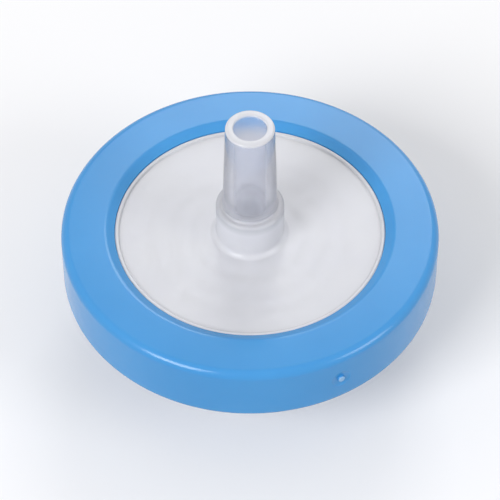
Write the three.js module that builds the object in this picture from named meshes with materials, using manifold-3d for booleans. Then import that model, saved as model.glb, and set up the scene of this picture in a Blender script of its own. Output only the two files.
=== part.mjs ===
// Syringe filter for a 25 mm membrane, in millimetres, with +Z along the flow.
// It stands on the flat rim of its inlet port, and the origin is at the centre of that rim.
import * as THREE from 'three';
import { mergeVertices } from 'three/addons/utils/BufferGeometryUtils.js';
import Module from 'manifold-3d';

const wasm = await Module();
wasm.setup();

// Membrane, and how its edge is held.
const membraneDiameter = 25;
const membraneThickness = 0.2;
const membraneEdgeGap = 0.1; // from the membrane's edge to the pocket that it lies in
const pinchWidth = 1.4; // rim of the membrane that the two halves squeeze

// Blue ring, moulded round the edges of both halves.
const ringWall = 1.8; // outside the halves
const ringLip = 0.65; // over the faces of the halves, which makes the window as deep
const ringSlope = 0.7; // width of the slope from the ring's flat face down to the window
const ringStep = 0.05; // upright edge where that slope ends, above the bead
const ringEdgeRounding = 0.7;
const ringLipRounding = 0.2;

// Both halves.
const pocketWall = 1.1; // round the membrane's pocket
const inletWall = 1.1;
const outletWall = 1.3;
const luerTaper = 0.06; // the standard 6 % cone: diameter lost for each millimetre of length
const portFillet = 0.5; // where a port grows out of its wall
const beadWidth = 0.35; // raised edge of the window, which the blue ring's mould closes on
const beadHeight = 0.2;

// Inlet port, a female luer lock.
const portLength = 7.65; // from the window to the rim
const portDiameter = 6.5;
const portRimRounding = 0.2;
const mouthDiameter = 4.3;
const mouthChamfer = 0.15;
const inletThroatLength = 1.25; // narrow hole between the cone's end and the chamber
const inletThroatDiameter = 2.4;
const lugSpan = 7.8; // over both lugs
const lugHeight = 1.3;
const lugArc = THREE.MathUtils.degToRad(72);

// Outlet port, a boss that carries a male slip luer.
const nozzleLength = 9;
const tipDiameter = 3.95;
const tipRounding = 0.2;
const nozzleBore = 2.7;
const bossLength = 3.5; // above the window
const bossStep = 0.55; // from the nozzle's foot out to the boss
const bossRounding = 0.3;

// Ribs inside the chamber.
const inletChannel = 0.7; // depth of the chamber under the membrane
const inletRibs = 12;
const inletRibWidth = 0.5;
const inletRibClearance = 0.1; // below the membrane
const inletRibStart = 0.7; // from the throat's wall out to the ribs
const inletRibEnd = 0.9; // from the ribs' ends out to the pinched rim
const outletChannel = 0.8; // depth of the chamber over the membrane
const supportPitch = 1.8;
const supportWidth = 0.7;
const supportStart = 1.1; // from the bore's wall out to the first support ring
const drainChannels = 8;
const drainWidth = 0.8;
const fuse = 0.2; // how far a rib's root sinks into the wall that it grows from

const roundSegments = 60;
const roundingSteps = 3;

// Radii that follow from those sizes.
const membraneRadius = membraneDiameter / 2;
const pocketRadius = membraneRadius + membraneEdgeGap;
const shellRadius = pocketRadius + pocketWall;
const ringRadius = shellRadius + ringWall;
const chamberRadius = membraneRadius - pinchWidth;
const windowRadius = chamberRadius;
const beadRadius = windowRadius - beadWidth;
const nozzleFootRadius = (tipDiameter + luerTaper * nozzleLength) / 2;
const bossRadius = nozzleFootRadius + bossStep;

// Heights, from the inlet's rim at zero up to the outlet's tip.
const inletWindow = portLength;
const ringBottom = inletWindow - ringLip;
const inletFloor = inletWindow + inletWall;
const membraneBottom = inletFloor + inletChannel;
const membraneTop = membraneBottom + membraneThickness;
const outletCeiling = membraneTop + outletChannel;
const outletWindow = outletCeiling + outletWall;
const ringTop = outletWindow + ringLip;
const bossTop = outletWindow + bossLength;
const tip = bossTop + nozzleLength;
const coneEnd = inletFloor - inletThroatLength;
const coneEndRadius = (mouthDiameter - luerTaper * coneEnd) / 2;

// Closed outline through corners of [radius, height, rounding]. Each rounding is a true arc.
function outline(corners) {
  const points = [];
  corners.forEach(([radius, height, rounding = 0], index) => {
    const corner = new THREE.Vector2(radius, height);
    if (rounding === 0) {
      points.push(corner);
      return;
    }
    const [lastRadius, lastHeight] = corners.at(index - 1);
    const [nextRadius, nextHeight] = corners[(index + 1) % corners.length];
    const back = new THREE.Vector2(lastRadius, lastHeight).sub(corner).normalize();
    const on = new THREE.Vector2(nextRadius, nextHeight).sub(corner).normalize();
    const half = back.angleTo(on) / 2;
    const centre = back.clone().add(on).normalize().multiplyScalar(rounding / Math.sin(half)).add(corner);
    const start = back.clone().multiplyScalar(rounding / Math.tan(half)).add(corner).sub(centre);
    const turn = (Math.PI - 2 * half) * Math.sign(back.cross(on));
    for (let step = 0; step <= roundingSteps; step += 1) {
      const spoke = start.clone().rotateAround(new THREE.Vector2(), -turn * step / roundingSteps);
      points.push(spoke.add(centre));
    }
  });
  return [...points, points[0].clone()];
}

function solidOf(geometry) {
  geometry.deleteAttribute('normal');
  geometry.deleteAttribute('uv');
  const merged = mergeVertices(geometry, 1e-5);
  return new wasm.Manifold(new wasm.Mesh({
    numProp: 3,
    vertProperties: merged.attributes.position.array,
    triVerts: new Uint32Array(merged.index.array),
  }));
}

// Solid of revolution round Z. The corners run anticlockwise, with the radius to the right and Z up.
function turned(corners) {
  return solidOf(new THREE.LatheGeometry(outline(corners), roundSegments).rotateX(Math.PI / 2));
}

function join(body, additions) {
  return additions.reduce((whole, addition) => whole.add(addition), body);
}

function piece(name, solid, material) {
  const { vertProperties, triVerts } = solid.getMesh();
  const geometry = new THREE.BufferGeometry();
  geometry.setAttribute('position', new THREE.BufferAttribute(vertProperties, 3));
  geometry.setIndex(new THREE.BufferAttribute(triVerts, 1));
  geometry.computeVertexNormals();
  const mesh = new THREE.Mesh(geometry, material);
  mesh.name = name;
  return mesh;
}

// Bar that lies along the radius at the given angle, between two radii and two heights.
function radialBar(angle, inner, outer, bottom, top, width) {
  const bar = new THREE.BoxGeometry(outer - inner, width, top - bottom);
  bar.translate((inner + outer) / 2, 0, (bottom + top) / 2);
  return solidOf(bar.rotateZ(angle));
}

function spread(count, make) {
  return Array.from({ length: count }, (_, index) => make(2 * Math.PI * index / count));
}

// Lug at the port's rim: a stretch of flange, flush with the rim, that a luer-lock collar's thread pulls on.
function lug(angle) {
  const inner = portDiameter / 2 - fuse;
  const stretch = new THREE.Shape();
  stretch.absarc(0, 0, lugSpan / 2, -lugArc / 2, lugArc / 2, false);
  stretch.absarc(0, 0, inner, lugArc / 2, -lugArc / 2, true);
  const flange = new THREE.ExtrudeGeometry(stretch, { depth: lugHeight, bevelEnabled: false, curveSegments: 8 });
  return solidOf(flange.rotateZ(angle));
}

function inletShell() {
  const body = turned([
    [mouthDiameter / 2 + mouthChamfer, 0],
    [portDiameter / 2, 0, portRimRounding],
    [portDiameter / 2, inletWindow, portFillet],
    [beadRadius, inletWindow],
    [beadRadius, inletWindow - beadHeight],
    [windowRadius, inletWindow - beadHeight],
    [windowRadius, inletWindow],
    [shellRadius, inletWindow],
    [shellRadius, membraneBottom],
    [chamberRadius, membraneBottom],
    [chamberRadius, inletFloor],
    [inletThroatDiameter / 2, inletFloor],
    [inletThroatDiameter / 2, coneEnd],
    [coneEndRadius, coneEnd],
    [mouthDiameter / 2, mouthChamfer],
  ]);
  const ribInner = inletThroatDiameter / 2 + inletRibStart;
  const ribOuter = chamberRadius - inletRibEnd;
  const ribTop = membraneBottom - inletRibClearance;
  const ribs = spread(inletRibs, (angle) =>
    radialBar(angle, ribInner, ribOuter, inletFloor - fuse, ribTop, inletRibWidth));
  return join(body, [...ribs, lug(0), lug(Math.PI)]);
}

function outletShell() {
  const body = turned([
    [shellRadius, membraneBottom],
    [shellRadius, outletWindow],
    [windowRadius, outletWindow],
    [windowRadius, outletWindow + beadHeight],
    [beadRadius, outletWindow + beadHeight],
    [beadRadius, outletWindow],
    [bossRadius, outletWindow, portFillet],
    [bossRadius, bossTop, bossRounding],
    [nozzleFootRadius, bossTop],
    [tipDiameter / 2, tip, tipRounding],
    [nozzleBore / 2, tip],
    [nozzleBore / 2, outletCeiling],
    [chamberRadius, outletCeiling],
    [chamberRadius, membraneTop],
    [pocketRadius, membraneTop],
    [pocketRadius, membraneBottom],
  ]);
  const supports = [];
  for (let inner = nozzleBore / 2 + supportStart; inner + supportPitch < chamberRadius; inner += supportPitch) {
    supports.push(turned([
      [inner, membraneTop],
      [inner + supportWidth, membraneTop],
      [inner + supportWidth, outletCeiling + fuse],
      [inner, outletCeiling + fuse],
    ]));
  }
  const drains = spread(drainChannels, (angle) =>
    radialBar(angle, 0, chamberRadius, membraneTop - fuse, outletCeiling, drainWidth));
  const cutSupports = drains.reduce((rest, drain) => rest.subtract(drain), join(supports[0], supports.slice(1)));
  return body.add(cutSupports);
}

function overmouldRing() {
  return turned([
    [ringRadius, ringBottom, ringEdgeRounding],
    [ringRadius, ringTop, ringEdgeRounding],
    [windowRadius + ringSlope, ringTop, ringLipRounding],
    [windowRadius, outletWindow + beadHeight + ringStep],
    [windowRadius, outletWindow],
    [shellRadius, outletWindow],
    [shellRadius, inletWindow],
    [windowRadius, inletWindow],
    [windowRadius, inletWindow - beadHeight - ringStep],
    [windowRadius + ringSlope, ringBottom, ringLipRounding],
  ]);
}

function membraneDisc() {
  const disc = new THREE.CylinderGeometry(membraneRadius, membraneRadius, membraneThickness, roundSegments);
  disc.rotateX(Math.PI / 2).translate(0, 0, (membraneBottom + membraneTop) / 2);
  return solidOf(disc);
}

const naturalPolypropylene = new THREE.MeshStandardMaterial({ color: 0xdfe1e6, roughness: 0.35, metalness: 0 });
const bluePolypropylene = new THREE.MeshStandardMaterial({ color: 0x3f86cf, roughness: 0.4, metalness: 0 });
const membranePolymer = new THREE.MeshStandardMaterial({ color: 0xf4f4f2, roughness: 0.9, metalness: 0 });

const syringeFilter = new THREE.Group();
syringeFilter.name = 'syringe_filter';
syringeFilter.add(piece('inlet_shell', inletShell(), naturalPolypropylene));
syringeFilter.add(piece('membrane', membraneDisc(), membranePolymer));
syringeFilter.add(piece('outlet_shell', outletShell(), naturalPolypropylene));
syringeFilter.add(piece('overmould_ring', overmouldRing(), bluePolypropylene));

export default syringeFilter;
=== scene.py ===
import math

import bmesh
import bpy
from mathutils import Matrix, Vector


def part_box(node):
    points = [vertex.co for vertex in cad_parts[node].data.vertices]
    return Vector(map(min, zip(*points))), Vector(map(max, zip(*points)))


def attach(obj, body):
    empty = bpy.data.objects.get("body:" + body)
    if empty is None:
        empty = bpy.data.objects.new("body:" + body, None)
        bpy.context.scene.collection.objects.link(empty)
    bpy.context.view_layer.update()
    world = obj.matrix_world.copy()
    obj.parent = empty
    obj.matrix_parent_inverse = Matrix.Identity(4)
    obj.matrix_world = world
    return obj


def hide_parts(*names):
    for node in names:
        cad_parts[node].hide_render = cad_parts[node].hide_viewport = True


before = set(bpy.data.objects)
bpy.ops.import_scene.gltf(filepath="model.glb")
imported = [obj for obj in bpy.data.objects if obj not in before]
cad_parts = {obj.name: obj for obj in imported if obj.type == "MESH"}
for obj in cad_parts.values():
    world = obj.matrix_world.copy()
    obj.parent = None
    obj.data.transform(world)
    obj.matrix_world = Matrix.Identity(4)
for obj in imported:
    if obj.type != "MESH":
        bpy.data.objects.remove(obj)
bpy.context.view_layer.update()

mm = 0.001
fullTurn = 2 * math.pi
turnSteps = 192  # facets round every turned piece
cornerSteps = 5  # facets across every rounding in its outline
edgeSteps = 3  # facets across the rounded edges of the lugs and the stub
weld = 0.0001  # points nearer than this are one
sliver = 0.002  # narrower leftovers of a cut are merged away
softEdge = math.radians(38)  # edges up to this angle are shaded smooth

# Heights and radii that the frame gives. Pieces are shaped in millimetres and scaled to metres when done.
ringLow, ringHigh = (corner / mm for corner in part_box("overmould_ring"))
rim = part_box("inlet_shell")[0].z / mm  # end of the inlet port, on which the filter stands
outletLow, outletHigh = (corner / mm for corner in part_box("outlet_shell"))
membraneLow, membraneHigh = (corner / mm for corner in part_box("membrane"))

window = {
    "recess": 0.65,  # below the ring's flat face
    "pinch": 1.4,  # the membrane's edge that the two halves squeeze, hidden by the ring
    "beadWidth": 0.35,  # raised edge that the ring is moulded up against
    "beadHeight": 0.2,
    "beadRounding": 0.13,
    "fit": 0.015,  # kept between two pieces, so that no two faces coincide
}
fit = window["fit"]
windowRadius = membraneHigh.x - window["pinch"]
chamberRadius = windowRadius
beadInner = windowRadius - window["beadWidth"]
inletWindow = ringLow.z + window["recess"]
outletWindow = ringHigh.z - window["recess"]
shellRadius = outletHigh.x - fit
nozzleLength = 9.0
nozzleStart = outletHigh.z - nozzleLength


def turned(corners):  # solid of revolution round Z, from corners of radius, height and rounding
    bm = bmesh.new()
    points = [bm.verts.new((radius, 0, height)) for radius, height, rounding in corners]
    for here, there in zip(points, points[1:] + points[:1]):
        bm.edges.new((here, there))
    for point, (radius, height, rounding) in zip(points, corners):
        if rounding:
            bmesh.ops.bevel(bm, geom=[point], offset=rounding, offset_type="OFFSET", segments=cornerSteps,
                            profile=0.5, affect="VERTICES", material=-1)
    bmesh.ops.spin(bm, geom=bm.verts[:] + bm.edges[:], cent=(0, 0, 0), axis=(0, 0, 1), angle=fullTurn,
                   steps=turnSteps, use_merge=True)
    return bm


def asObject(name, bm):  # closes a bmesh, turns its faces outwards and makes it an object
    bmesh.ops.remove_doubles(bm, verts=bm.verts, dist=weld)
    bmesh.ops.recalc_face_normals(bm, faces=bm.faces)
    mesh = bpy.data.meshes.new(name)
    bm.to_mesh(mesh)
    bm.free()
    piece = bpy.data.objects.new(name, mesh)
    bpy.context.scene.collection.objects.link(piece)
    return piece


def combine(body, tool, operation):  # joins or cuts one closed solid with another, which is used up
    modifier = body.modifiers.new("combine", "BOOLEAN")
    modifier.operation = operation
    modifier.solver = "EXACT"
    modifier.object = tool
    evaluated = body.evaluated_get(bpy.context.evaluated_depsgraph_get())
    bm = bmesh.new()
    bm.from_mesh(evaluated.to_mesh())
    bmesh.ops.remove_doubles(bm, verts=bm.verts, dist=sliver)
    bmesh.ops.dissolve_degenerate(bm, edges=bm.edges, dist=sliver)
    body.modifiers.clear()
    bm.to_mesh(body.data)
    bm.free()
    bpy.data.objects.remove(tool)


def finishPiece(piece, material, slot, *nodes):  # to metres, shaded, and set in the frame
    piece.data.transform(Matrix.Scale(mm, 4))
    piece.data.shade_smooth()
    piece.data.set_sharp_from_angle(angle=softEdge)
    piece.data.materials.clear()
    piece.data.materials.append(material)
    weighted = piece.modifiers.new("weighted", "WEIGHTED_NORMAL")
    weighted.keep_sharp = True
    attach(piece, "root")
    if nodes:
        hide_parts(*nodes)


def linear(code):  # sRGB hex to linear colour
    parts = [int(code[place:place + 2], 16) / 255 for place in (1, 3, 5)]
    return tuple(c / 12.92 if c <= 0.04045 else ((c + 0.055) / 1.055) ** 2.4 for c in parts) + (1.0,)


def addNode(tree, kind, settings, inputs):  # one node with its settings, and its inputs set or linked
    node = tree.nodes.new(kind)
    for key, value in settings.items():
        setattr(node, key, value)
    for key, value in inputs.items():
        if isinstance(value, bpy.types.NodeSocket):
            tree.links.new(value, node.inputs[key])
        else:
            node.inputs[key].default_value = value
    return node


def newMaterial(name):
    material = bpy.data.materials.new(name)
    material.use_nodes = True
    tree = material.node_tree
    tree.nodes.clear()
    output = addNode(tree, "ShaderNodeOutputMaterial", {}, {})
    place = addNode(tree, "ShaderNodeTexCoord", {}, {}).outputs["Object"]
    return material, tree, output, place


def grains(size):  # noise scale whose grains are this many millimetres across
    return 1 / (size * mm)


def roundAndUp(tree, place):  # distance from the part's axis, and height
    flat = addNode(tree, "ShaderNodeVectorMath", {"operation": "MULTIPLY"}, {0: place, 1: (1, 1, 0)})
    reach = addNode(tree, "ShaderNodeVectorMath", {"operation": "LENGTH"}, {0: flat.outputs["Vector"]})
    up = addNode(tree, "ShaderNodeSeparateXYZ", {}, {"Vector": place})
    return reach.outputs["Value"], up.outputs["Z"]


# Polypropylene coloured in the melt and moulded in a finely spark-eroded tool: between satin and gloss,
# with faint flow clouds in the colour and light that goes a little way in. What stands proud, the digits
# and the broken stub, is painted paler: a painted highlight for the light that their edges catch. The
# grain is drawn a few times coarser than it is, to show.
blueLook = {
    "colours": ("#348BCB", "#4298D8"),
    "cloudSize": 7,
    # The pale blue below is a painted highlight, mixed onto the digits and the stub.
    "paintedHighlightColour": "#C2DDF4",
    "digitPaintedHighlight": 0.75,
    "digitEdge": (0.04, 0.12),  # below the ring's face, from none of the painted highlight to all of it
    "stubPaintedHighlight": 0.4,
    "stubEdge": (0.02, 0.08),  # outside the ring's side, from none of the painted highlight to all of it
    "grainSize": 0.2,
    "grainDepth": 0.008,
    "roughness": (0.16, 0.24),
    "lightDepth": 1.2,
}


def bluePolypropylene():
    material, tree, output, place = newMaterial("bluePolypropylene")
    reach, up = roundAndUp(tree, place)
    clouds = addNode(tree, "ShaderNodeTexNoise", {}, {
        "Vector": place, "Scale": grains(blueLook["cloudSize"]), "Detail": 3.0})
    melt = addNode(tree, "ShaderNodeMix", {"data_type": "RGBA"}, {
        "Factor": clouds.outputs["Fac"],
        "A": linear(blueLook["colours"][0]), "B": linear(blueLook["colours"][1])})
    digits = addNode(tree, "ShaderNodeMapRange", {}, {
        "Value": up, "From Min": (ringLow.z - blueLook["digitEdge"][0]) * mm,
        "From Max": (ringLow.z - blueLook["digitEdge"][1]) * mm, "To Max": blueLook["digitPaintedHighlight"]})
    stub = addNode(tree, "ShaderNodeMapRange", {}, {
        "Value": reach, "From Min": (ringHigh.x + blueLook["stubEdge"][0]) * mm,
        "From Max": (ringHigh.x + blueLook["stubEdge"][1]) * mm, "To Max": blueLook["stubPaintedHighlight"]})
    # Painted highlight: how far the digits and the stub are mixed towards the pale blue.
    paintedHighlight = addNode(tree, "ShaderNodeMath", {"operation": "MAXIMUM"}, {
        0: digits.outputs["Result"], 1: stub.outputs["Result"]})
    colour = addNode(tree, "ShaderNodeMix", {"data_type": "RGBA"}, {
        "Factor": paintedHighlight.outputs[0], "A": melt.outputs["Result"], "B": linear(blueLook["paintedHighlightColour"])})
    grain = addNode(tree, "ShaderNodeTexNoise", {}, {
        "Vector": place, "Scale": grains(blueLook["grainSize"]), "Detail": 1.0, "Roughness": 0.4})
    gloss = addNode(tree, "ShaderNodeMapRange", {}, {
        "Value": grain.outputs["Fac"],
        "To Min": blueLook["roughness"][0], "To Max": blueLook["roughness"][1]})
    relief = addNode(tree, "ShaderNodeBump", {}, {
        "Height": grain.outputs["Fac"], "Strength": 0.15, "Distance": blueLook["grainDepth"] * mm})
    shader = addNode(tree, "ShaderNodeBsdfPrincipled", {}, {
        "Base Color": colour.outputs["Result"], "Roughness": gloss.outputs["Result"], "IOR": 1.49,
        "Normal": relief.outputs["Normal"], "Subsurface Weight": 0.15,
        "Subsurface Radius": (0.4, 0.7, 1.0), "Subsurface Scale": blueLook["lightDepth"] * mm})
    tree.links.new(shader.outputs["BSDF"], output.inputs["Surface"])
    return material


# Uncoloured polypropylene, moulded in a polished tool: a smooth skin over milky walls. The thin nozzle is
# half clear, and the bead and the tip's end, where light comes out of the wall's length, are the whitest.
naturalLook = {
    "colours": ("#F1F2FA", "#F9FAFE"),
    "cloudSize": 4,
    "wallClarity": 0.42,
    "nozzleClarity": 0.88,
    "edgeClarity": 0.4,  # of the bead and the tip's end
    "nozzleBlend": 1,  # either way from the boss's top, where the wall's finish turns into the nozzle's
    "beadBlend": 0.05,
    "tipEdge": (0.3, 0.1),  # below the tip, from the nozzle's clarity to the end's
    "wallRoughness": 0.2,
    "nozzleRoughness": 0.11,
    "grainRoughness": 0.06,  # the most that the grain adds
    "grainSize": 0.3,
    "grainDepth": 0.003,
}


def naturalPolypropylene():
    material, tree, output, place = newMaterial("naturalPolypropylene")
    reach, up = roundAndUp(tree, place)
    clouds = addNode(tree, "ShaderNodeTexNoise", {}, {
        "Vector": place, "Scale": grains(naturalLook["cloudSize"]), "Detail": 3.0})
    colour = addNode(tree, "ShaderNodeMix", {"data_type": "RGBA"}, {
        "Factor": clouds.outputs["Fac"],
        "A": linear(naturalLook["colours"][0]), "B": linear(naturalLook["colours"][1])})
    nozzle = addNode(tree, "ShaderNodeMapRange", {}, {
        "Value": up, "From Min": (nozzleStart - naturalLook["nozzleBlend"]) * mm,
        "From Max": (nozzleStart + naturalLook["nozzleBlend"]) * mm})
    bead = addNode(tree, "ShaderNodeMapRange", {}, {
        "Value": reach, "From Min": (beadInner - naturalLook["beadBlend"]) * mm,
        "From Max": (beadInner + naturalLook["beadBlend"]) * mm})
    end = addNode(tree, "ShaderNodeMapRange", {}, {
        "Value": up, "From Min": (outletHigh.z - naturalLook["tipEdge"][0]) * mm,
        "From Max": (outletHigh.z - naturalLook["tipEdge"][1]) * mm})
    edges = addNode(tree, "ShaderNodeMath", {"operation": "MAXIMUM"}, {
        0: bead.outputs["Result"], 1: end.outputs["Result"]})
    wall = addNode(tree, "ShaderNodeMapRange", {}, {
        "Value": nozzle.outputs["Result"],
        "To Min": naturalLook["wallClarity"], "To Max": naturalLook["nozzleClarity"]})
    clarity = addNode(tree, "ShaderNodeMapRange", {}, {
        "Value": edges.outputs[0], "To Min": wall.outputs["Result"], "To Max": naturalLook["edgeClarity"]})
    haze = addNode(tree, "ShaderNodeMapRange", {}, {
        "Value": nozzle.outputs["Result"],
        "To Min": naturalLook["wallRoughness"], "To Max": naturalLook["nozzleRoughness"]})
    grain = addNode(tree, "ShaderNodeTexNoise", {}, {
        "Vector": place, "Scale": grains(naturalLook["grainSize"]), "Detail": 3.0})
    gloss = addNode(tree, "ShaderNodeMath", {"operation": "MULTIPLY_ADD"}, {
        0: grain.outputs["Fac"], 1: naturalLook["grainRoughness"], 2: haze.outputs["Result"]})
    relief = addNode(tree, "ShaderNodeBump", {}, {
        "Height": grain.outputs["Fac"], "Strength": 0.1, "Distance": naturalLook["grainDepth"] * mm})
    shader = addNode(tree, "ShaderNodeBsdfPrincipled", {}, {
        "Base Color": colour.outputs["Result"], "Roughness": gloss.outputs[0], "IOR": 1.49,
        "Normal": relief.outputs["Normal"], "Transmission Weight": clarity.outputs["Result"]})
    tree.links.new(shader.outputs["BSDF"], output.inputs["Surface"])
    return material


# Cast microporous polymer sheet: matt white with a fine felted grain, and thin enough to glow from behind.
membraneLook = {
    "colours": ("#F6F6F7", "#FCFCFC"),
    "feltSize": 0.25,
    "feltDepth": 0.01,
    "lightDepth": 0.3,
}


def membranePolymer():
    material, tree, output, place = newMaterial("membranePolymer")
    felt = addNode(tree, "ShaderNodeTexNoise", {}, {
        "Vector": place, "Scale": grains(membraneLook["feltSize"]), "Detail": 5.0})
    colour = addNode(tree, "ShaderNodeMix", {"data_type": "RGBA"}, {
        "Factor": felt.outputs["Fac"],
        "A": linear(membraneLook["colours"][0]), "B": linear(membraneLook["colours"][1])})
    relief = addNode(tree, "ShaderNodeBump", {}, {
        "Height": felt.outputs["Fac"], "Strength": 0.5, "Distance": membraneLook["feltDepth"] * mm})
    shader = addNode(tree, "ShaderNodeBsdfPrincipled", {}, {
        "Base Color": colour.outputs["Result"], "Roughness": 0.9, "IOR": 1.4,
        "Normal": relief.outputs["Normal"], "Subsurface Weight": 1.0,
        "Subsurface Radius": (1, 1, 1), "Subsurface Scale": membraneLook["lightDepth"] * mm})
    tree.links.new(shader.outputs["BSDF"], output.inputs["Surface"])
    return material


blue = bluePolypropylene()
natural = naturalPolypropylene()
white = membranePolymer()
print("materials ready")


ring = {
    "edgeRounding": 0.7,
    "slope": 0.7,  # from the flat face down to the window
    "lipRounding": 0.2,
    "step": 0.05,  # upright edge over the bead
    "gateTurn": math.radians(-62),  # round from +X to where the melt came in
    "dishRadius": 0.85,
    "dishDepth": 0.12,
    "dishFacets": 48,  # round it, and half as many from end to end
    "stubFacets": 32,
    "stubRadius": 0.32,
    "stubHeight": 0.22,  # from the bottom of the dish
    "stubDraft": 0.15,  # share by which it is thicker at its foot and thinner at its end
    "stubRounding": 0.05,
}


def gatePlace(reach):  # turns something modelled along Z to point out of the ring's side
    middle = (ringLow.z + ringHigh.z) / 2
    return (Matrix.Translation((0, 0, middle)) @ Matrix.Rotation(ring["gateTurn"], 4, "Z")
            @ Matrix.Translation((ringHigh.x + reach, 0, 0)) @ Matrix.Rotation(math.pi / 2, 4, "Y"))


def makeRing():
    lip = windowRadius + ring["slope"]
    over = window["beadHeight"] + ring["step"]
    body = asObject("ringBody", turned([
        (ringHigh.x, ringLow.z, ring["edgeRounding"]),
        (ringHigh.x, ringHigh.z, ring["edgeRounding"]),
        (lip, ringHigh.z, ring["lipRounding"]),
        (windowRadius + fit, outletWindow + over, 0),
        (windowRadius + fit, outletWindow + fit, 0),
        (shellRadius + fit, outletWindow + fit, 0),
        (shellRadius + fit, inletWindow - fit, 0),
        (windowRadius + fit, inletWindow - fit, 0),
        (windowRadius + fit, inletWindow - over, 0),
        (lip, ringLow.z, ring["lipRounding"]),
    ]))
    dish = bmesh.new()
    bmesh.ops.create_uvsphere(dish, u_segments=ring["dishFacets"], v_segments=ring["dishFacets"] // 2,
                              radius=ring["dishRadius"])
    bmesh.ops.scale(dish, vec=Vector((1, 1, ring["dishDepth"] / ring["dishRadius"])), verts=dish.verts)
    bmesh.ops.transform(dish, matrix=gatePlace(0), verts=dish.verts)
    combine(body, asObject("dish", dish), "DIFFERENCE")
    stub = bmesh.new()
    bmesh.ops.create_cone(stub, cap_ends=True, segments=ring["stubFacets"], depth=2 * ring["stubHeight"],
                          radius1=ring["stubRadius"] * (1 + ring["stubDraft"]),
                          radius2=ring["stubRadius"] * (1 - ring["stubDraft"]))
    top = [edge for edge in stub.edges if all(vert.co.z > 0 for vert in edge.verts)]
    bmesh.ops.bevel(stub, geom=top, offset=ring["stubRounding"], segments=edgeSteps, profile=0.5,
                    affect="EDGES", material=-1)
    bmesh.ops.transform(stub, matrix=gatePlace(-ring["dishDepth"]), verts=stub.verts)
    combine(body, asObject("stub", stub), "UNION")
    body.name = "ring"
    finishPiece(body, blue, "blue_polypropylene", "overmould_ring")


makeRing()
print("ring made")


numbers = {
    # The digits of each row, and the angle round from +X at which it starts.
    "rows": (("0123456789", math.radians(40)), ("123456", math.radians(-85))),
    "height": 2.0,
    "fontShare": 0.73,  # a digit's height for a font of size 1
    "gap": 0.55,  # between digits
    "radius": 13.25,  # to the middle of the digits
    "raise": 0.14,
    "sink": 0.05,  # into the ring's face
    "bevel": 0.04,
}


def digitMesh(digit):  # a raised digit, standing on its foot at the origin
    curve = bpy.data.curves.new("digit", "FONT")
    curve.body = digit
    curve.size = numbers["height"] / numbers["fontShare"]
    curve.extrude = (numbers["raise"] + numbers["sink"]) / 2 - numbers["bevel"]
    curve.bevel_depth = numbers["bevel"]
    curve.bevel_resolution = 1
    curve.resolution_u = 6
    text = bpy.data.objects.new("digit", curve)
    bpy.context.scene.collection.objects.link(text)
    mesh = bpy.data.meshes.new_from_object(text.evaluated_get(bpy.context.evaluated_depsgraph_get()))
    bpy.data.objects.remove(text)
    return mesh


def makeNumbers():
    bm = bmesh.new()
    for digits, start in numbers["rows"]:
        angle = start
        for digit in digits:
            mesh = digitMesh(digit)
            left = min(vert.co.x for vert in mesh.vertices)
            width = max(vert.co.x for vert in mesh.vertices) - left
            middle = angle - width / 2 / numbers["radius"]
            mesh.transform(
                Matrix.Rotation(middle - math.pi / 2, 4, "Z")
                @ Matrix.Translation((-left - width / 2, numbers["radius"] - numbers["height"] / 2, 0)))
            bm.from_mesh(mesh)
            angle -= (width + numbers["gap"]) / numbers["radius"]
    level = ringLow.z + (numbers["sink"] - numbers["raise"]) / 2
    turnOver = Matrix.Translation((0, 0, level)) @ Matrix.Rotation(math.pi, 4, "X")
    bmesh.ops.transform(bm, matrix=turnOver, verts=bm.verts)
    finishPiece(asObject("ringNumbers", bm), blue, "blue_polypropylene")


makeNumbers()
print("numbers made")


luerTaper = 0.03  # radius lost for each millimetre of a standard cone
wallFillet = 0.5  # where the port and the boss meet their walls
sharpEdge = math.radians(30)  # edges bent more than this get rounded

inlet = {
    "portRadius": 3.25,
    "rimRounding": 0.2,
    "mouthRadius": 2.15,
    "mouthChamfer": 0.15,
    "mouthRounding": 0.05,
    "throatRadius": 1.2,
    "throatLength": 1.25,
    "throatRounding": 0.25,
    "wall": 1.1,
    "chamberRounding": 0.2,
    "cornerRounding": 0.1,
    "lugReach": 3.9,
    "lugHeight": 1.3,
    "lugArc": math.radians(72),
    "lugFacets": 24,  # along its arc
    "lugSink": 0.3,  # into the port's wall
    "lugRounding": 0.16,
    "ribs": 12,
    "ribWidth": 0.5,
    "ribSink": 0.3,  # into the floor
    "ribStart": 0.7,  # from the throat's wall
    "ribEnd": 0.9,  # short of the pinched edge
    "ribClearance": 0.1,  # below the membrane
    "ribRounding": 0.08,
}
inletFloor = inletWindow + inlet["wall"]


def lugTool(turn):
    bm = bmesh.new()
    foot = inlet["portRadius"] - inlet["lugSink"]
    top = rim + inlet["lugHeight"]
    corners = ((foot, rim), (inlet["lugReach"], rim), (inlet["lugReach"], top), (foot, top))
    face = bm.faces.new([bm.verts.new((radius, 0, height)) for radius, height in corners])
    bmesh.ops.spin(bm, geom=[face], cent=(0, 0, 0), axis=(0, 0, 1), angle=inlet["lugArc"],
                   steps=inlet["lugFacets"])
    bmesh.ops.rotate(bm, matrix=Matrix.Rotation(turn - inlet["lugArc"] / 2, 3, "Z"), verts=bm.verts)
    bmesh.ops.recalc_face_normals(bm, faces=bm.faces)
    outer = [edge for edge in bm.edges if edge.calc_face_angle() > sharpEdge
             and all(vert.co.xy.length > inlet["portRadius"] for vert in edge.verts)]
    bmesh.ops.bevel(bm, geom=outer, offset=inlet["lugRounding"], segments=edgeSteps, profile=0.5,
                    affect="EDGES", material=-1)
    return asObject("lug", bm)


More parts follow.
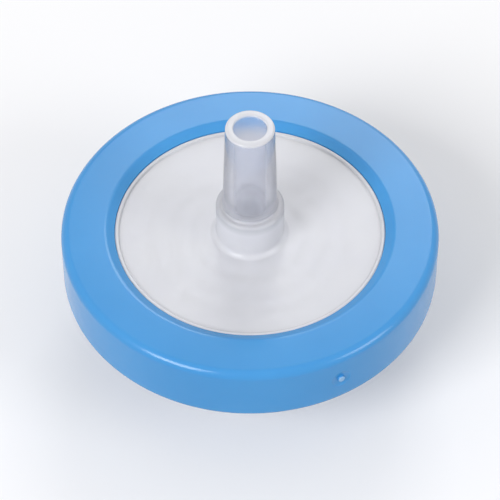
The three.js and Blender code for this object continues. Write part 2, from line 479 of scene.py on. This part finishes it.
def barTool(count, inner, outer, bottom, top, width, rounding):  # bars along the radius, evenly round
    bm = bmesh.new()
    for index in range(count):
        made = bmesh.ops.create_cube(bm, size=1)["verts"]
        bmesh.ops.scale(bm, vec=Vector((outer - inner, width, top - bottom)), verts=made)
        bmesh.ops.translate(bm, vec=Vector(((inner + outer) / 2, 0, (bottom + top) / 2)), verts=made)
        bmesh.ops.rotate(bm, matrix=Matrix.Rotation(fullTurn * index / count, 3, "Z"), verts=made)
    if rounding:
        middle = (bottom + top) / 2
        crest = [edge for edge in bm.edges if all(vert.co.z > middle for vert in edge.verts)]
        bmesh.ops.bevel(bm, geom=crest, offset=rounding, segments=2, profile=0.5, affect="EDGES",
                        material=-1)
    return asObject("bars", bm)


def makeInletShell():
    clamp = membraneLow.z - fit
    coneEnd = inletFloor - inlet["throatLength"]
    coneEndRadius = inlet["mouthRadius"] - luerTaper * (coneEnd - rim)
    body = asObject("inletBody", turned([
        (inlet["mouthRadius"] + inlet["mouthChamfer"], rim, inlet["mouthRounding"]),
        (inlet["portRadius"], rim, inlet["rimRounding"]),
        (inlet["portRadius"], inletWindow, wallFillet),
        (beadInner, inletWindow, window["beadRounding"]),
        (beadInner, inletWindow - window["beadHeight"], window["beadRounding"]),
        (windowRadius, inletWindow - window["beadHeight"], window["beadRounding"]),
        (windowRadius, inletWindow, 0),
        (shellRadius, inletWindow, 0),
        (shellRadius, clamp, 0),
        (chamberRadius, clamp, inlet["cornerRounding"]),
        (chamberRadius, inletFloor, inlet["chamberRounding"]),
        (inlet["throatRadius"], inletFloor, inlet["throatRounding"]),
        (inlet["throatRadius"], coneEnd, inlet["cornerRounding"]),
        (coneEndRadius, coneEnd, inlet["cornerRounding"]),
        (inlet["mouthRadius"], rim + inlet["mouthChamfer"], inlet["mouthRounding"]),
    ]))
    ribs = barTool(inlet["ribs"],
                   inlet["throatRadius"] + inlet["ribStart"], chamberRadius - inlet["ribEnd"],
                   inletFloor - inlet["ribSink"], membraneLow.z - inlet["ribClearance"],
                   inlet["ribWidth"], inlet["ribRounding"])
    combine(body, ribs, "UNION")
    for turn in (0, math.pi):
        combine(body, lugTool(turn), "UNION")
    body.name = "inletShell"
    finishPiece(body, natural, "natural_polypropylene", "inlet_shell")


makeInletShell()
print("inlet shell made")


outlet = {
    "tipRadius": 1.975,
    "tipRounding": 0.2,
    "footRounding": 0.15,
    "bore": 1.35,
    "boreRounding": 0.25,
    "bossStep": 0.55,
    "bossRounding": 0.3,
    "wall": 1.3,
    "pocketClearance": 0.1,  # round the membrane
    "chamberRounding": 0.2,
    "cornerRounding": 0.1,
    "supportStart": 1.1,  # from the bore's wall
    "supportPitch": 1.8,
    "supportWidth": 0.7,
    "drains": 8,
    "drainWidth": 0.8,
    "drainStart": 0.4,  # from the bore's wall
    "drainEnd": 0.3,  # short of the chamber's wall
    "drainStep": 0.005,  # left of each support ring, so that no two faces coincide
}


def makeOutletShell():
    clamp = membraneHigh.z + fit
    ceiling = outletWindow - outlet["wall"]
    tip = outletHigh.z
    foot = outlet["tipRadius"] + luerTaper * nozzleLength
    boss = foot + outlet["bossStep"]
    pocket = membraneHigh.x + outlet["pocketClearance"]
    corner = outlet["cornerRounding"]
    corners = [
        (shellRadius, outletLow.z, 0),
        (shellRadius, outletWindow, 0),
        (windowRadius, outletWindow, 0),
        (windowRadius, outletWindow + window["beadHeight"], window["beadRounding"]),
        (beadInner, outletWindow + window["beadHeight"], window["beadRounding"]),
        (beadInner, outletWindow, window["beadRounding"]),
        (boss, outletWindow, wallFillet),
        (boss, nozzleStart, outlet["bossRounding"]),
        (foot, nozzleStart, outlet["footRounding"]),
        (outlet["tipRadius"], tip, outlet["tipRounding"]),
        (outlet["bore"], tip, corner),
        (outlet["bore"], ceiling, outlet["boreRounding"]),
    ]
    inner = outlet["bore"] + outlet["supportStart"]
    while inner + outlet["supportPitch"] < chamberRadius:
        outer = inner + outlet["supportWidth"]
        corners += [(inner, ceiling, corner), (inner, clamp, corner), (outer, clamp, corner),
                    (outer, ceiling, corner)]
        inner += outlet["supportPitch"]
    corners += [
        (chamberRadius, ceiling, outlet["chamberRounding"]),
        (chamberRadius, clamp, corner),
        (pocket, clamp, 0),
        (pocket, outletLow.z, 0),
    ]
    body = asObject("outletBody", turned(corners))
    drains = barTool(outlet["drains"],
                     outlet["bore"] + outlet["drainStart"], chamberRadius - outlet["drainEnd"],
                     membraneLow.z, ceiling - outlet["drainStep"],
                     outlet["drainWidth"], 0)
    combine(body, drains, "DIFFERENCE")
    body.name = "outletShell"
    finishPiece(body, natural, "natural_polypropylene", "outlet_shell")


makeOutletShell()
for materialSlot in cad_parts["membrane"].material_slots:
    materialSlot.material = white
print("outlet shell and membrane made")


studio = {
    "floor": "#F4F4F6",
    "floorSize": 3,  # from its middle to each side, in metres as the other lengths here are
    "floorDrop": 0.02 * mm,  # below the part, so that it doesn't share a face with it
    "fadeStart": 0.028,  # the floor's own colour and the shadow end here
    "fadeEnd": 0.07,  # and plain white starts here
    "roomLight": 0.57,  # even light from all round
    "elevation": math.radians(50),
    "azimuth": math.radians(0),
    "distance": 0.23,
    "lens": 200,
    "target": Vector((0, 0, 9.3)) * mm,
    # Name, place, size of its side in metres, and watts.
    "softboxes": (
        ("softboxLeft", (-0.45, -0.5, 0.5), 0.38, 4.0),
        ("softboxRight", (0.6, -0.3, 0.35), 0.32, 1.4),
        ("softboxBack", (0.1, 0.6, 0.5), 0.32, 1.0),
    ),
}


def backdropRays(tree):  # 1 for a ray that should see the white backdrop, 0 for one that brings light
    path = addNode(tree, "ShaderNodeLightPath", {}, {}).outputs
    clear = addNode(tree, "ShaderNodeMath", {"operation": "MAXIMUM"}, {
        0: path["Is Glossy Ray"], 1: path["Is Transmission Ray"]})
    return addNode(tree, "ShaderNodeMath", {"operation": "MAXIMUM"}, {
        0: path["Is Camera Ray"], 1: clear.outputs[0]}).outputs[0]


# Pale paper that fades to plain white and can be looked through from below.
def palePaper():
    material, tree, output, place = newMaterial("palePaper")
    paper = addNode(tree, "ShaderNodeBsdfDiffuse", {}, {"Color": linear(studio["floor"])})
    backdrop = addNode(tree, "ShaderNodeEmission", {}, {"Color": (1, 1, 1, 1), "Strength": 1.0})
    reach = addNode(tree, "ShaderNodeVectorMath", {"operation": "LENGTH"}, {0: place})
    fade = addNode(tree, "ShaderNodeMapRange", {"interpolation_type": "SMOOTHSTEP"}, {
        "Value": reach.outputs["Value"], "From Min": studio["fadeStart"], "From Max": studio["fadeEnd"]})
    share = addNode(tree, "ShaderNodeMath", {"operation": "MULTIPLY"}, {
        0: fade.outputs["Result"], 1: backdropRays(tree)})
    above = addNode(tree, "ShaderNodeMixShader", {}, {
        0: share.outputs[0], 1: paper.outputs["BSDF"], 2: backdrop.outputs["Emission"]})
    clear = addNode(tree, "ShaderNodeBsdfTransparent", {}, {})
    side = addNode(tree, "ShaderNodeNewGeometry", {}, {}).outputs["Backfacing"]
    both = addNode(tree, "ShaderNodeMixShader", {}, {
        0: side, 1: above.outputs["Shader"], 2: clear.outputs["BSDF"]})
    tree.links.new(both.outputs["Shader"], output.inputs["Surface"])
    return material


def makeFloor():
    bm = bmesh.new()
    bmesh.ops.create_grid(bm, x_segments=1, y_segments=1, size=studio["floorSize"])
    bmesh.ops.translate(bm, vec=Vector((0, 0, -studio["floorDrop"])), verts=bm.verts)
    mesh = bpy.data.meshes.new("floor")
    bm.to_mesh(mesh)
    bm.free()
    mesh.materials.append(palePaper())
    floor = bpy.data.objects.new("floor", mesh)
    bpy.context.scene.collection.objects.link(floor)
    # The room lights the part from below as well.
    floor.visible_diffuse = floor.visible_transmission = floor.visible_shadow = False


def makeRoom():
    world = bpy.data.worlds.new("softRoom")
    world.use_nodes = True
    tree = world.node_tree
    tree.nodes.clear()
    strength = addNode(tree, "ShaderNodeMapRange", {}, {
        "Value": backdropRays(tree), "To Min": studio["roomLight"], "To Max": 1.0})
    backdrop = addNode(tree, "ShaderNodeBackground", {}, {
        "Color": (1, 1, 1, 1), "Strength": strength.outputs["Result"]})
    addNode(tree, "ShaderNodeOutputWorld", {}, {"Surface": backdrop.outputs["Background"]})
    bpy.context.scene.world = world


def softbox(name, place, size, power):
    light = bpy.data.lights.new(name, "AREA")
    light.size = size
    light.energy = power
    lamp = bpy.data.objects.new(name, light)
    lamp.location = place
    lamp.rotation_euler = (studio["target"] - Vector(place)).to_track_quat("-Z", "Y").to_euler()
    lamp.visible_transmission = False  # seen through the milky plastic, the lamps give only specks
    bpy.context.scene.collection.objects.link(lamp)


def makeCamera():
    camera = bpy.data.cameras.new("camera")
    camera.lens = studio["lens"]
    camera.clip_start = 0.01
    eye = bpy.data.objects.new("camera", camera)
    towards = Vector((math.sin(studio["azimuth"]) * math.cos(studio["elevation"]),
                      -math.cos(studio["azimuth"]) * math.cos(studio["elevation"]),
                      math.sin(studio["elevation"])))
    eye.location = studio["target"] + towards * studio["distance"]
    eye.rotation_euler = (-towards).to_track_quat("-Z", "Y").to_euler()
    bpy.context.scene.collection.objects.link(eye)
    bpy.context.scene.camera = eye


def makeStudio():
    makeFloor()
    makeRoom()
    for name, place, size, power in studio["softboxes"]:
        softbox(name, place, size, power)
    makeCamera()
    bpy.context.scene.view_settings.view_transform = "Standard"


makeStudio()
print("studio made")
